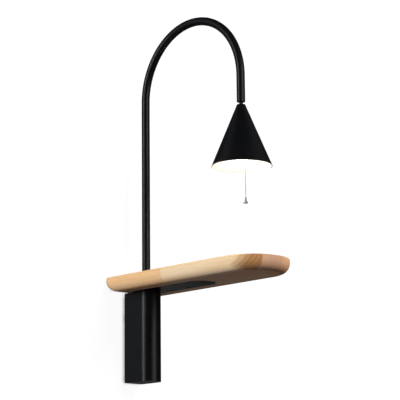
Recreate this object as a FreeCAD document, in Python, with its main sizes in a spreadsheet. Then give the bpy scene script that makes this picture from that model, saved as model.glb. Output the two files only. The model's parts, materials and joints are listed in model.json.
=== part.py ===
import FreeCAD, Part
import Sketcher
import math
import os
import re

# Wall lamp with a wooden shelf: a hollow base on a wall bracket, a shelf board screwed to
# a steel support plate, an arched tube rising through the board and a conical shade on a
# ball swivel with a pull switch.
# Frame: X to the right, -Y out of the wall, Z up. The origin lies on the wall, midway
# between the two wall screws. All sizes are in millimetres.

SIZES = [
    ("base_width", 33, "outside width of the base"),
    ("base_depth", 52.1, "depth of the base in front of the bracket"),
    ("base_height", 130, "height of the base below the shelf"),
    ("base_wall", 1.5, "wall of the base housing"),
    ("base_roof", 2, "closed top of the base housing"),
    ("bracket_thickness", 4, "wall bracket plate"),
    ("bracket_width", 26, "wall bracket plate"),
    ("bracket_corner", 2, "rounded corners of the wall bracket"),
    ("bracket_reveal", 4, "bracket stays this much short of the base, top and bottom"),
    ("wall_screw_spacing", 90, "between the two wall screw holes"),
    ("wall_screw_hole", 5.5, "wall screw hole diameter"),
    ("entry_level", 6, "supply cable entry above the origin"),
    ("entry_hole", 13, "cable entry hole in the bracket"),
    ("grommet_bore", 8, "bore of the cable grommet"),
    ("grommet_flange", 16, "flange diameter of the grommet"),
    ("grommet_lip", 1.5, "flange thickness of the grommet"),
    ("hook_level", 24, "upper face of the hook's ledge"),
    ("hook_width", 18, "width of the bracket's hook"),
    ("hook_metal", 3, "thickness of the hook"),
    ("hook_lip", 8, "height of the lip above the ledge"),
    ("hanger_thickness", 3, "bar that hangs on the hook"),
    ("hanger_height", 12, "bar that hangs on the hook"),
    ("tab_length", 20, "tab at the bracket's lower end"),
    ("tab_width", 16, "tab at the bracket's lower end"),
    ("tab_thickness", 4, "tab at the bracket's lower end"),
    ("cap_thickness", 2, "flange of the base cap"),
    ("cap_spigot", 6, "depth of the cap's spigot inside the housing"),
    ("cap_wall", 2, "wall of the cap's spigot"),
    ("cap_boss", 13, "boss round the cap screw"),
    ("cap_screw_reach", 16, "cap screw axis in front of the wall"),
    ("cap_screw_thread", 4, "cap screw diameter"),
    ("cap_screw_head", 7.6, "countersunk head diameter"),
    ("cap_screw_length", 14, "cap screw length over all"),
    ("terminal_top", -6, "upper face of the terminal block"),
    ("terminal_height", 16, "terminal block"),
    ("terminal_width", 26, "terminal block"),
    ("terminal_depth", 12, "terminal block"),
    ("terminal_pitch", 8, "between poles"),
    ("terminal_bore", 3.6, "wire bore of a pole"),
    ("terminal_bore_reach", 9, "wire bore axis in front of the wall"),
    ("terminal_screw", 3.2, "clamping screw diameter"),
    ("terminal_screw_gap", 9, "between the two clamping screws of a pole"),
    ("terminal_screw_head", 1.2, "slotted end of a clamping screw"),
    ("terminal_screw_sunk", 1, "clamping screws below the block's face"),
    ("terminal_groove", 3, "depth of the grooves for the fixing screws"),
    ("fixing_screw", 2.5, "screws that hold the terminal block"),
    ("fixing_head", 4.2, "head of those screws"),
    ("fixing_head_height", 1.8, "head of those screws"),
    ("earth_screw_thread", 4, "earth screw diameter"),
    ("earth_screw_head", 7, "earth screw head"),
    ("earth_screw_head_height", 2.6, "earth screw head"),
    ("earth_washer_diameter", 9, "washer under the earth screw"),
    ("earth_washer_thickness", 1, "washer under the earth screw"),
    ("tip_gap", 0.8, "screw tips short of the bracket's back"),
    ("earth_level", -38, "earth screw"),
    ("earth_offset", -8, "earth screw to the left of the middle"),
    ("board_length", 300, "shelf board, out of the wall"),
    ("board_width", 106, "shelf board"),
    ("board_thickness", 20, "shelf board"),
    ("board_front_flat", 2, "straight middle of the rounded front, in plan"),
    ("board_back_radius", 10, "wall end corners in plan"),
    ("board_lower_round", 14, "roundover of the lower edge"),
    ("board_upper_round", 2, "eased upper edge"),
    ("plate_thickness", 3, "support plate, let into the board"),
    ("plate_width", 44, "support plate"),
    ("plate_start", 15, "near end of the plate from the wall"),
    ("plate_reach", 168.5, "far end of the plate from the wall"),
    ("plate_gap", 0.3, "gap round the plate in its recess"),
    ("recess_chamfer", 0.8, "broken edge of the recess"),
    ("shelf_screw_thread", 4, "wood screws"),
    ("shelf_screw_head", 7.8, "countersunk heads"),
    ("shelf_screw_length", 16, "wood screws over all"),
    ("shelf_screw_side", 14, "side screws from the middle line"),
    ("shelf_screw_first", 72, "first screw pair from the wall"),
    ("shelf_screw_second", 108, "second screw pair from the wall"),
    ("shelf_screw_tip", 154, "single screw near the plate's tip"),
    ("pilot_gap", 0.5, "pilot holes deeper than the screws"),
    ("arm_reach", 33, "tube axis from the wall"),
    ("arm_diameter", 12, "tube outside"),
    ("arm_wall", 1, "tube wall"),
    ("arm_rise", 264, "straight tube above the board"),
    ("arch_radius", 100, "centre line of the arch"),
    ("arm_drop", 38.5, "straight end below the arch"),
    ("nipple_bore", 7, "bore of the threaded nipple"),
    ("nipple_inside", 16, "nipple length inside the tube"),
    ("nipple_below", 11, "nipple length below the support plate"),
    ("washer_diameter", 20, "arm washer"),
    ("washer_thickness", 1.5, "arm washer"),
    ("arm_nut_flats", 14, "across flats"),
    ("arm_nut_height", 5, "arm nut"),
    ("cable_diameter", 5, "sheathed cable in the tube"),
    ("cable_lead", 10, "straight cable below the terminal block"),
    ("end_gap", 0.3, "between a cable's end and what it goes into"),
    ("cable_end_gap", 21, "cable end above the tube's mouth"),
    ("bush_length", 16, "swivel bush in the tube's mouth"),
    ("stud_shank", 6, "swivel stud in the bush"),
    ("stud_top", 3, "stud above the bush"),
    ("stud_bore", 3.4, "wire passage through the stud"),
    ("stud_collar", 7.6, "collar under the tube's mouth"),
    ("stud_collar_height", 0.8, "collar under the tube's mouth"),
    ("neck_diameter", 5.2, "visible neck of the stud"),
    ("ball_diameter", 9.6, "ball of the swivel"),
    ("ball_depth", 5, "ball centre below the shade's crown"),
    ("clip_thickness", 0.9, "retaining clip on the stud"),
    ("clip_diameter", 7.4, "retaining clip on the stud"),
    ("clip_groove", 4.8, "diameter at the bottom of the clip's groove"),
    ("clip_tab_width", 1.4, "tab that meets the stop pin"),
    ("clip_tab_reach", 4.7, "tab's end from the axis"),
    ("stop_pin_diameter", 1, "stop pin in the bush"),
    ("stop_pin_radius", 4.25, "stop pin from the axis"),
    ("stop_pin_length", 5, "stop pin"),
    ("stop_pin_height", 2.2, "stop pin above the bush"),
    ("core_diameter", 1.4, "insulated wire"),
    ("lead_bend", 2.5, "bend of the wires to the switch"),
    ("core_spacing", 1.6, "between the two wires"),
    ("shade_gap", 3.9, "tube's mouth to the shade's crown"),
    ("shade_height", 88.5, "crown to rim"),
    ("shade_crown", 11.6, "outside diameter of the crown"),
    ("shade_rim", 85, "outside diameter of the rim"),
    ("shade_wall", 1, "spun sheet"),
    ("shade_opening", 9.8, "opening in the crown"),
    ("shade_shoulder", 0.9, "rounded shoulder of the crown"),
    ("shade_turn", -119, "where the pull switch faces, degrees from +X"),
    ("socket_depth", 12, "lower face of the ball socket below the crown"),
    ("socket_mouth", 8, "mouth of the ball socket"),
    ("socket_flare", 8.9, "flared top of the mouth"),
    ("clamp_thread", 12, "thread of the ball clamp"),
    ("clamp_thread_run", 1, "socket's thread above the ball clamp"),
    ("clamp_top", 7.2, "upper end of the ball clamp below the crown"),
    ("clamp_bottom", 24, "lower end of the ball clamp below the crown"),
    ("clamp_stub", 10, "thread for the holder's cap"),
    ("clamp_bore", 6, "wire passage"),
    ("lock_nut_flats", 16, "across flats"),
    ("lock_nut_height", 2.4, "lock nut"),
    ("strap_thickness", 1, "switch strap"),
    ("strap_width", 6, "switch strap"),
    ("strap_foot_width", 10, "foot of the strap under the switch"),
    ("strap_ring", 17.6, "ring of the strap round the clamp"),
    ("strap_bend", 9.2, "upper bend from the axis"),
    ("holder_diameter", 17, "lamp holder and its cap"),
    ("holder_cap_height", 12, "cap of the lamp holder"),
    ("holder_cap_wall", 1.4, "cap of the lamp holder"),
    ("holder_height", 15.5, "ceramic lamp holder"),
    ("holder_edge", 1, "broken edges of the holder and its cap"),
    ("pin_spacing", 9, "lamp pins"),
    ("pin_diameter", 1.1, "lamp pins"),
    ("pin_length", 7, "lamp pins above the lamp's base"),
    ("pin_hole_gap", 1, "pin holes deeper than the pins"),
    ("lamp_base_width", 15, "base of the lamp"),
    ("lamp_base_depth", 10, "base of the lamp"),
    ("lamp_base_height", 7, "base of the lamp"),
    ("lamp_collar_diameter", 15.8, "collar of the base round the glass"),
    ("lamp_collar_height", 1.5, "collar of the base round the glass"),
    ("lamp_diameter", 15.2, "glass of the lamp"),
    ("lamp_glass_height", 34.5, "glass of the lamp"),
    ("lamp_glass_wall", 1, "glass of the lamp"),
    ("light_strip_width", 8, "strip with the light sources"),
    ("light_strip_height", 24, "strip with the light sources"),
    ("light_strip_thickness", 1.2, "strip with the light sources"),
    ("switch_offset", 16.5, "pull switch axis from the shade's axis"),
    ("switch_top", 45, "top of the switch below the crown"),
    ("switch_height", 17, "switch body"),
    ("switch_width", 11, "switch body, along the rim"),
    ("switch_depth", 9, "switch body, towards the axis"),
    ("switch_corner", 1, "rounded upright edges of the switch body"),
    ("switch_chamber", 5, "chamber for the plunger's head"),
    ("switch_chamber_depth", 13, "chamber for the plunger's head"),
    ("chain_guide_thread", 6, "threaded chain guide"),
    ("chain_guide_length", 8, "threaded chain guide"),
    ("guide_nut_flats", 9, "across flats"),
    ("guide_nut_height", 2.2, "nut on the chain guide"),
    ("plunger_diameter", 2.4, "plunger rod"),
    ("plunger_head", 4.4, "head inside the chamber"),
    ("plunger_head_height", 3, "head inside the chamber"),
    ("plunger_travel", 6, "pull of the switch"),
    ("plunger_stop", 0.5, "head above the chamber's floor when pulled"),
    ("coupling_diameter", 3.8, "coupling of the chain"),
    ("coupling_height", 3.6, "coupling of the chain"),
    ("coupling_taper", 0.8, "height of the coupling's tapered ends"),
    ("coupling_gap", 1.5, "coupling below the chain guide"),
    ("chain_diameter", 2.2, "bead chain"),
    ("chain_length", 60.3, "bead chain"),
    ("bell_height", 8.2, "bell on the chain"),
    ("bell_diameter", 6.8, "mouth of the bell"),
    ("bell_neck", 2.6, "top of the bell"),
    ("bell_neck_height", 1.6, "straight top of the bell"),
    ("bell_waist", 3.6, "bell where it starts to flare"),
    ("bell_flare", 3.1, "flare above the bell's mouth"),
    ("bell_band", 0.8, "straight band round the bell's mouth"),
    ("bell_wall", 0.7, "wall at the bell's mouth"),
    ("bell_hollow", 2.3, "hollow inside the bell"),
    ("seat_clearance", 0.05, "between seated turned parts, on the radius"),
    ("running_clearance", 0.05, "between a shaft and its bore, on the radius"),
    ("hole_clearance", 0.2, "between a part and the hole it passes, on the radius"),
    ("hang_clearance", 0.2, "each side of the hanger bar in the hook"),
]
NAMES = {name for name, _, _ in SIZES}

document = FreeCAD.newDocument("wall_lamp_with_shelf")
sheet = document.addObject("Spreadsheet::Sheet", "Sizes")
nodes = []


def fill_sheet():
    for row, (name, amount, note) in enumerate(SIZES, start=1):
        sheet.set(f"A{row}", note)
        sheet.set(f"B{row}", str(amount))
        sheet.setAlias(f"B{row}", name)
    document.recompute()


def cells(text):
    """An expression with each size's name pointed at the sheet."""
    return re.sub(r"[A-Za-z_]\w*", lambda m: "Sizes." + m[0] if m[0] in NAMES else m[0], str(text))


def size(text):
    return float(sheet.evalExpression(cells(text)))


def bind(item, **sizes):
    for name, text in sizes.items():
        item.setExpression(name, cells(text))


def place(item, x="0", y="0", z="0", turn=None):
    item.Placement = FreeCAD.Placement(FreeCAD.Vector(), FreeCAD.Rotation(FreeCAD.Vector(0, 0, 1), 30))
    item.setExpression("Placement.Rotation.Angle", cells(turn if turn is not None else "0"))
    for axis, text in zip("xyz", (x, y, z)):
        item.setExpression(f"Placement.Base.{axis}", cells(text))


def new_body(name, **where):
    body = document.addObject("PartDesign::Body", name)
    body.Label = name
    place(body, **where)
    return body


def keep(item):
    nodes.append(item)
    return item


# sketches and features

def sketch_on(body, plane, name, offset="0"):
    sketch = body.newObject("Sketcher::SketchObject", name)
    origin = next(f for f in body.Origin.OriginFeatures if f.Role == plane + "_Plane")
    sketch.AttachmentSupport = [(origin, "")]
    sketch.MapMode = "FlatFace"
    sketch.setExpression("AttachmentOffset.Base.z", cells(offset))
    return sketch


def pin_point(sketch, edge, end, x, y):
    """Hold one end (or the centre, end 3) of an edge at x, y from the sketch's origin."""
    for kind, text in (("DistanceX", x), ("DistanceY", y)):
        index = sketch.addConstraint(Sketcher.Constraint(kind, -1, 1, edge, end, size(text)))
        sketch.setExpression(f"Constraints[{index}]", cells(text))


def add_arc(sketch, start, end, radius, side):
    """The short arc from start to end, bulging left (1) or right (-1) of the way there."""
    chord = end - start
    left = FreeCAD.Vector(-chord.y, chord.x, 0).normalize()
    back = math.sqrt(max(radius ** 2 - (chord.Length / 2) ** 2, 0))
    centre = (start + end) / 2 - left * side * back
    first, last = (end, start) if side > 0 else (start, end)
    angles = [math.atan2(p.y - centre.y, p.x - centre.x) for p in (first, last)]
    curve = Part.Circle(centre, FreeCAD.Vector(0, 0, 1), radius)
    return sketch.addGeometry(Part.ArcOfCircle(curve, *angles), False)


def add_corner_arc(sketch, start, end, corner, target):
    """An arc to a corner (x, y, radius, side). Radius "half" makes a half circle, whose centre
    is level with its ends."""
    radius, side = target[2:]
    if radius == "half":
        edge = add_arc(sketch, start, end, (end - start).Length / 2, side)
        kind, text = ("DistanceY", corner[1]) if abs(start.y - end.y) < 1e-6 else ("DistanceX", corner[0])
        index = sketch.addConstraint(Sketcher.Constraint(kind, -1, 1, edge, 3, size(text)))
    else:
        edge, text = add_arc(sketch, start, end, size(radius), side), radius
        index = sketch.addConstraint(Sketcher.Constraint("Radius", edge, size(text)))
    sketch.setExpression(f"Constraints[{index}]", cells(text))
    return (edge, 2, 1) if side > 0 else (edge, 1, 2)


def outline(sketch, corners, closed=True):
    """A chain of edges through corners (x, y). A corner (x, y, radius, side) is reached by an
    arc of that radius that bulges to the left (1) or right (-1) of the way there."""
    points = [FreeCAD.Vector(size(c[0]), size(c[1]), 0) for c in corners]
    edges = []
    for i in range(len(corners) if closed else len(corners) - 1):
        following = (i + 1) % len(corners)
        if len(corners[following]) == 2:
            edges.append((sketch.addGeometry(Part.LineSegment(points[i], points[following]), False), 1, 2))
        else:
            ends = points[i], points[following]
            edges.append(add_corner_arc(sketch, *ends, corners[i], corners[following]))
    for i, (edge, first, last) in enumerate(edges):
        pin_point(sketch, edge, first, corners[i][0], corners[i][1])
        if closed or i + 1 < len(edges):
            following = edges[(i + 1) % len(edges)]
            sketch.addConstraint(Sketcher.Constraint("Coincident", edge, last, following[0], following[1]))
        else:
            pin_point(sketch, edge, last, corners[-1][0], corners[-1][1])
    return sketch


def circle(sketch, diameter, x="0", y="0"):
    centre = FreeCAD.Vector(size(x), size(y), 0)
    edge = sketch.addGeometry(Part.Circle(centre, FreeCAD.Vector(0, 0, 1), size(diameter) / 2), False)
    pin_point(sketch, edge, 3, x, y)
    index = sketch.addConstraint(Sketcher.Constraint("Diameter", edge, size(diameter)))
    sketch.setExpression(f"Constraints[{index}]", cells(diameter))
    return sketch


def hexagon(sketch, flats, x="0", y="0"):
    corners = []
    reach = f"({flats}) / sqrt(3)"
    for angle in range(30, 360, 60):
        corners.append((f"{x} + {reach} * cos({angle})", f"{y} + {reach} * sin({angle})"))
    return outline(sketch, corners)


def rectangle(sketch, x_low, x_high, y_low, y_high):
    return outline(sketch, [(x_low, y_low), (x_high, y_low), (x_high, y_high), (x_low, y_high)])


def pad(body, sketch, name, length, middle=False, reverse=False):
    feature = body.newObject("PartDesign::Pad", name)
    feature.Profile = sketch
    feature.SideType = "Symmetric" if middle else "One side"
    feature.Reversed = reverse
    bind(feature, Length=length)
    return feature


def pocket(body, sketch, name, length=None, reverse=False):
    """Cuts against the sketch's normal, or along it when reversed; through all with no length."""
    feature = body.newObject("PartDesign::Pocket", name)
    feature.Profile = sketch
    feature.Reversed = reverse
    if length is None:
        feature.Type = "ThroughAll"
    else:
        bind(feature, Length=length)
    return feature


def revolve(body, sketch, name, axis="V_Axis"):
    feature = body.newObject("PartDesign::Revolution", name)
    feature.Profile = sketch
    feature.ReferenceAxis = (sketch, [axis])
    feature.Angle = 360
    return feature


def turned(name, profile, **where):
    """A body turned about its own Z axis from a profile of (radius, height) corners."""
    body = new_body(name, **where)
    revolve(body, outline(sketch_on(body, "XZ", name + "_profile"), profile), name + "_turned")
    return body


def dress(body, kind, name, amount, chosen):
    """A fillet or chamfer on the edges of the tip that chosen() picks."""
    document.recompute()
    base = body.Tip
    picked = [f"Edge{i}" for i, edge in enumerate(base.Shape.Edges, start=1) if chosen(edge)]
    feature = body.newObject("PartDesign::" + kind, name)
    feature.Base = (base, picked)
    bind(feature, **{"Radius" if kind == "Fillet" else "Size": amount})
    return feature


def lies_at_level(edge, level):
    return abs(edge.BoundBox.ZMin - level) < 1e-4 and abs(edge.BoundBox.ZMax - level) < 1e-4


def ring_at(edge, level, diameter):
    curve = edge.Curve
    round_edge = isinstance(curve, Part.Circle) and abs(curve.Radius - diameter / 2) < 1e-4
    return round_edge and lies_at_level(edge, level)


def hex_recess(body, name, flats, depth, level):
    """A hexagonal driver recess that opens downwards at the given level."""
    sketch = hexagon(sketch_on(body, "XY", name + "_sketch", level), flats)
    return pocket(body, sketch, name, depth, reverse=True)


# screws' driver recesses

DRIVE_FLATS = 0.6    # hexagon across flats, as a share of the thread
DRIVE_DEPTH = 0.45   # its depth, as a share of the thread
SLOT_REACH = 0.4     # half a slot's length, as a share of the head
SLOT_HALF = 0.07     # half a slot's width, as a share of the head


# outlines used twice

def base_outline(inset):
    """Flat back at the bracket, straight sides and a half-round front, moved in by inset."""
    half = f"(base_width / 2 - {inset})"
    straight = "-(base_depth - base_width / 2)"
    return [(half, "0"), (half, straight), ("-" + half, straight, "half", 1), ("-" + half, "0")]


def plate_outline(gap):
    """The support plate's outline with two half-round ends, made larger by gap."""
    half = f"(plate_width / 2 + {gap})"
    front = "-(plate_reach - plate_width / 2)"
    back = "-(plate_start + plate_width / 2)"
    return [(half, back, "half", 1), (half, front), ("-" + half, front, "half", 1), ("-" + half, back)]


SHELF_SCREWS = [
    ("shelf_screw_side", "-shelf_screw_first"),
    ("-shelf_screw_side", "-shelf_screw_first"),
    ("shelf_screw_side", "-shelf_screw_second"),
    ("-shelf_screw_side", "-shelf_screw_second"),
    ("0", "-shelf_screw_tip"),
]
BOARD_LEVEL = "base_height / 2"
PLATE_TOP = "(base_height / 2 + plate_thickness)"
BASE_FLOOR = "(-base_height / 2)"
HOUSING_FLOOR = "(-base_height / 2 + cap_thickness)"
TAB_FLOOR = "(-base_height / 2 + cap_thickness + cap_spigot)"
ARCH_SPRING = "(base_height / 2 + board_thickness + arm_rise)"
TUBE_MOUTH = "(base_height / 2 + board_thickness + arm_rise - arm_drop)"
CROWN = "(base_height / 2 + board_thickness + arm_rise - arm_drop - shade_gap)"
SHADE_REACH = "(arm_reach + 2 * arch_radius)"
TERMINAL_MIDDLE = "(terminal_top - terminal_height / 2)"
CLAMP_SHOULDER = "(socket_depth + lock_nut_height + strap_thickness)"


def in_shade():
    """Placement of what rides in the shade: on its axis, level with the crown."""
    return dict(y="-" + SHADE_REACH, z=CROWN, turn="shade_turn")


# wall bracket and base

def make_wall_bracket():
    body = new_body("wall_bracket")
    half_height = "(base_height / 2 - bracket_reveal)"
    plate = rectangle(sketch_on(body, "XZ", "bracket_outline"), "-bracket_width / 2", "bracket_width / 2",
                      "-" + half_height, half_height)
    pad(body, plate, "bracket_plate", "bracket_thickness")
    slot = "(hanger_thickness + 2 * hang_clearance)"
    face = "-bracket_thickness"
    front = f"(-bracket_thickness - {slot} - hook_metal)"
    inside = f"(-bracket_thickness - {slot})"
    hook = outline(sketch_on(body, "YZ", "hook_profile"), [
        (face, "hook_level - hook_metal"), (face, "hook_level"), (inside, "hook_level"),
        (inside, "hook_level + hook_lip"), (front, "hook_level + hook_lip"),
        (front, "hook_level - hook_metal")])
    pad(body, hook, "hook", "hook_width", middle=True)
    tab = rectangle(sketch_on(body, "YZ", "tab_profile"), "-bracket_thickness - tab_length", face,
                    TAB_FLOOR, TAB_FLOOR + " + tab_thickness")
    pad(body, tab, "tab", "tab_width", middle=True)
    holes = sketch_on(body, "XZ", "bracket_holes")
    for side in ("", "-"):
        circle(holes, "wall_screw_hole", "0", side + "wall_screw_spacing / 2")
    circle(holes, "entry_hole", "0", "entry_level")
    circle(holes, "earth_screw_thread + 2 * seat_clearance", "earth_offset", "earth_level")
    for side in ("", "-"):
        circle(holes, "fixing_screw + 2 * seat_clearance", side + "terminal_pitch / 2", TERMINAL_MIDDLE)
    pocket(body, holes, "bracket_drilled", "bracket_thickness", reverse=True)
    tapped = circle(sketch_on(body, "XY", "tab_hole", TAB_FLOOR), "cap_screw_thread + 2 * seat_clearance",
                    "0", "-cap_screw_reach")
    pocket(body, tapped, "tab_tapped", "tab_thickness", reverse=True)
    dress(body, "Fillet", "bracket_corners", "bracket_corner",
          lambda e: abs(e.Length - size("bracket_thickness")) < 1e-4
          and abs(abs(e.CenterOfMass.z) - size(half_height)) < 1e-4)
    return keep(body)


def make_entry_grommet():
    body = new_body("entry_grommet", z="entry_level")
    bore, flange = "grommet_bore / 2", "grommet_flange / 2"
    outer = "(entry_hole / 2 - seat_clearance)"
    seat, face = "-bracket_thickness", "-bracket_thickness - grommet_lip"
    profile = outline(sketch_on(body, "XY", "grommet_profile"), [
        (bore, "0"), (outer, "0"), (outer, seat), (flange, seat), (flange, face), (bore, face)])
    revolve(body, profile, "grommet")
    return keep(body)


def make_base_housing():
    body = new_body("base_housing", y="-bracket_thickness", z=HOUSING_FLOOR)
    pad(body, outline(sketch_on(body, "XY", "housing_outline"), base_outline("0")), "housing_block",
        "base_height - cap_thickness")
    hollow = outline(sketch_on(body, "XY", "housing_hollow_outline"), base_outline("base_wall"))
    pocket(body, hollow, "housing_hollow", "base_height - cap_thickness - base_roof", reverse=True)
    nipple = sketch_on(body, "XY", "housing_nipple_outline", "base_height - cap_thickness")
    circle(nipple, "arm_diameter - 2 * arm_wall + 2 * hole_clearance", "0", "bracket_thickness - arm_reach")
    pocket(body, nipple, "housing_nipple_hole", "base_roof")
    return keep(body)


def make_hanger_bar():
    body = new_body("hanger_bar", y="-bracket_thickness - hang_clearance", z="hook_level")
    half = "(base_width / 2 - base_wall)"
    face = rectangle(sketch_on(body, "XZ", "hanger_face"), "-" + half, half, "0", "hanger_height")
    pad(body, face, "hanger", "hanger_thickness")
    return keep(body)


def make_base_cap():
    body = new_body("base_cap", y="-bracket_thickness", z=BASE_FLOOR)
    flange = outline(sketch_on(body, "XY", "cap_outline"), base_outline("0"))
    pad(body, flange, "cap_flange", "cap_thickness")
    rim = sketch_on(body, "XY", "cap_spigot_outline", "cap_thickness")
    outline(rim, base_outline("(base_wall + hole_clearance)"))
    pad(body, rim, "cap_spigot_block", "cap_spigot")
    hollow = sketch_on(body, "XY", "cap_hollow_outline", "cap_thickness + cap_spigot")
    wall = "(base_wall + hole_clearance + cap_wall)"
    inner = base_outline(wall)
    inner[0] = (inner[0][0], "-cap_wall")
    inner[3] = (inner[3][0], "-cap_wall")
    pocket(body, outline(hollow, inner), "cap_hollow", "cap_spigot")
    boss_y = "(bracket_thickness - cap_screw_reach)"
    boss = circle(sketch_on(body, "XY", "cap_boss_outline", "cap_thickness"), "cap_boss", "0", boss_y)
    pad(body, boss, "cap_boss_pad", "cap_spigot")
    hole = "(cap_screw_thread + 2 * hole_clearance)"
    drilled = circle(sketch_on(body, "XY", "cap_hole_outline"), hole, "0", boss_y)
    pocket(body, drilled, "cap_hole", reverse=True)
    dress(body, "Chamfer", "cap_countersink", f"(cap_screw_head - {hole}) / 2",
          lambda e: ring_at(e, 0, size(hole)))
    return keep(body)


def countersunk_screw(name, thread, head, length, **where):
    """A countersunk screw pointing up, its head's face at z = 0."""
    cone, shank, point = f"({head} - {thread}) / 2", f"{thread} / 2", f"{thread} / 8"
    body = turned(name, [("0", "0"), (f"{head} / 2", "0"), (shank, cone), (shank, f"{length} - {shank}"),
                         (point, length), ("0", length)], **where)
    hex_recess(body, name + "_drive", f"{thread} * {DRIVE_FLATS}", f"{thread} * {DRIVE_DEPTH}", "0")
    return body


def make_cap_screw():
    return keep(countersunk_screw("cap_screw", "cap_screw_thread", "cap_screw_head", "cap_screw_length",
                                  y="-cap_screw_reach", z=BASE_FLOOR))


# wiring in the base

def drill_terminal_block(body):
    wires = sketch_on(body, "XY", "terminal_wires", "terminal_top")
    screws = sketch_on(body, "XZ", "terminal_screw_holes", "terminal_depth")
    for pole in (-1, 0, 1):
        x = f"{pole} * terminal_pitch"
        circle(wires, "terminal_bore", x, "bracket_thickness - terminal_bore_reach")
        for side in ("+", "-"):
            circle(screws, "terminal_screw", x, f"{TERMINAL_MIDDLE} {side} terminal_screw_gap / 2")
    pocket(body, wires, "terminal_wire_bores", "terminal_height")
    pocket(body, screws, "terminal_screw_bores", "terminal_depth + bracket_thickness - terminal_bore_reach")


def make_terminal_block():
    body = new_body("terminal_block", y="-bracket_thickness")
    low, high = "terminal_top - terminal_height", "terminal_top"
    half = "terminal_width / 2"
    face = rectangle(sketch_on(body, "XZ", "terminal_face"), "-" + half, half, low, high)
    pad(body, face, "terminal_housing", "terminal_depth")
    drill_terminal_block(body)
    fixings = sketch_on(body, "XZ", "terminal_fixing_holes", "terminal_depth")
    grooves = sketch_on(body, "XZ", "terminal_groove_outline", "terminal_depth")
    groove = "(fixing_head / 2 + hole_clearance)"
    for side in ("", "-"):
        middle = side + "terminal_pitch / 2"
        circle(fixings, "fixing_screw + 2 * hole_clearance", middle, TERMINAL_MIDDLE)
        rectangle(grooves, f"{middle} - {groove}", f"{middle} + {groove}", low, high)
    pocket(body, fixings, "terminal_fixing_bores")
    pocket(body, grooves, "terminal_grooves", "terminal_groove")
    return keep(body)


def compound(name, bodies):
    group = document.addObject("Part::Compound", name)
    group.Label = name
    group.Links = bodies
    return keep(group)


def facing_screw(name, thread, head, head_height, length, **where):
    """A cylinder-head screw along Y, its head's under side at y = 0 and its tip towards +Y."""
    body = new_body(name, **where)
    shoulder = [] if head == thread else [(f"{head} / 2", "0"), (f"{thread} / 2", "0")]
    profile = outline(sketch_on(body, "XY", name + "_profile"), [
        ("0", "-" + head_height), (f"{head} / 2", "-" + head_height), *shoulder,
        (f"{thread} / 2", length), ("0", length)])
    revolve(body, profile, name + "_turned")
    sketch = sketch_on(body, "XZ", name + "_slot_sketch", head_height)
    reach, half = f"{head} * {SLOT_REACH}", f"{head} * {SLOT_HALF}"
    rectangle(sketch, "-" + reach, reach, "-" + half, half)
    pocket(body, sketch, name + "_slot", f"{head_height} / 2")
    return body


def make_terminal_screws():
    screws = []
    thread = "(terminal_screw - 2 * seat_clearance)"
    sunk = "(terminal_screw_sunk + terminal_screw_head)"
    wire_front = "(terminal_bore_reach + terminal_bore / 2)"
    length = f"bracket_thickness + terminal_depth - {wire_front} - {sunk}"
    for pole in (-1, 0, 1):
        for side in (-1, 1):
            screws.append(facing_screw(
                f"terminal_screw_{pole + 1}_{side + 1}", thread, thread, "terminal_screw_head", length,
                x=f"{pole} * terminal_pitch", y=f"-bracket_thickness - terminal_depth + {sunk}",
                z=f"{TERMINAL_MIDDLE} + {side} * terminal_screw_gap / 2"))
    return compound("terminal_screws", screws)


def make_terminal_fixings():
    screws = []
    seat = "(terminal_depth - terminal_groove)"
    for side in (-1, 1):
        screws.append(facing_screw(
            f"terminal_fixing_{side + 1}", "fixing_screw", "fixing_head", "fixing_head_height",
            f"{seat} + bracket_thickness - tip_gap", x=f"{side} * terminal_pitch / 2",
            y="-bracket_thickness - " + seat, z=TERMINAL_MIDDLE))
    return compound("terminal_fixings", screws)


def make_earth_screw():
    return keep(facing_screw(
        "earth_screw", "earth_screw_thread", "earth_screw_head", "earth_screw_head_height",
        "bracket_thickness + earth_washer_thickness - tip_gap", x="earth_offset",
        y="-bracket_thickness - earth_washer_thickness", z="earth_level"))


def make_earth_washer():
    body = new_body("earth_washer", x="earth_offset", y="-bracket_thickness", z="earth_level")
    ring = sketch_on(body, "XZ", "earth_washer_ring")
    circle(ring, "earth_washer_diameter")
    circle(ring, "earth_screw_thread + 2 * hole_clearance")
    pad(body, ring, "earth_washer_pad", "earth_washer_thickness")
    return keep(body)


# shelf

def board_outline():
    """Small corners at the wall, and a front of two quarter rounds with a short straight between."""
    half, back = "board_width / 2", "board_back_radius"
    front = "((board_width - board_front_flat) / 2)"
    flat, sides = "board_front_flat / 2", f"-(board_length - {front})"
    return [
        (f"{half} - {back}", "0", back, -1), (f"-({half} - {back})", "0"),
        ("-" + half, "-" + back, back, -1), ("-" + half, sides),
        ("-" + flat, "-board_length", front, -1), (flat, "-board_length"),
        (half, sides, front, -1), (half, "-" + back),
    ]


def cut_board_recess(body):
    recess = outline(sketch_on(body, "XY", "plate_recess_outline"), plate_outline("plate_gap"))
    pocket(body, recess, "plate_recess", "plate_thickness", reverse=True)
    bevel = sketch_on(body, "XY", "recess_edge_outline")
    outline(bevel, plate_outline("(plate_gap + recess_chamfer)"))
    edge = pocket(body, bevel, "recess_edge", "recess_chamfer", reverse=True)
    edge.TaperAngle = -45


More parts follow.
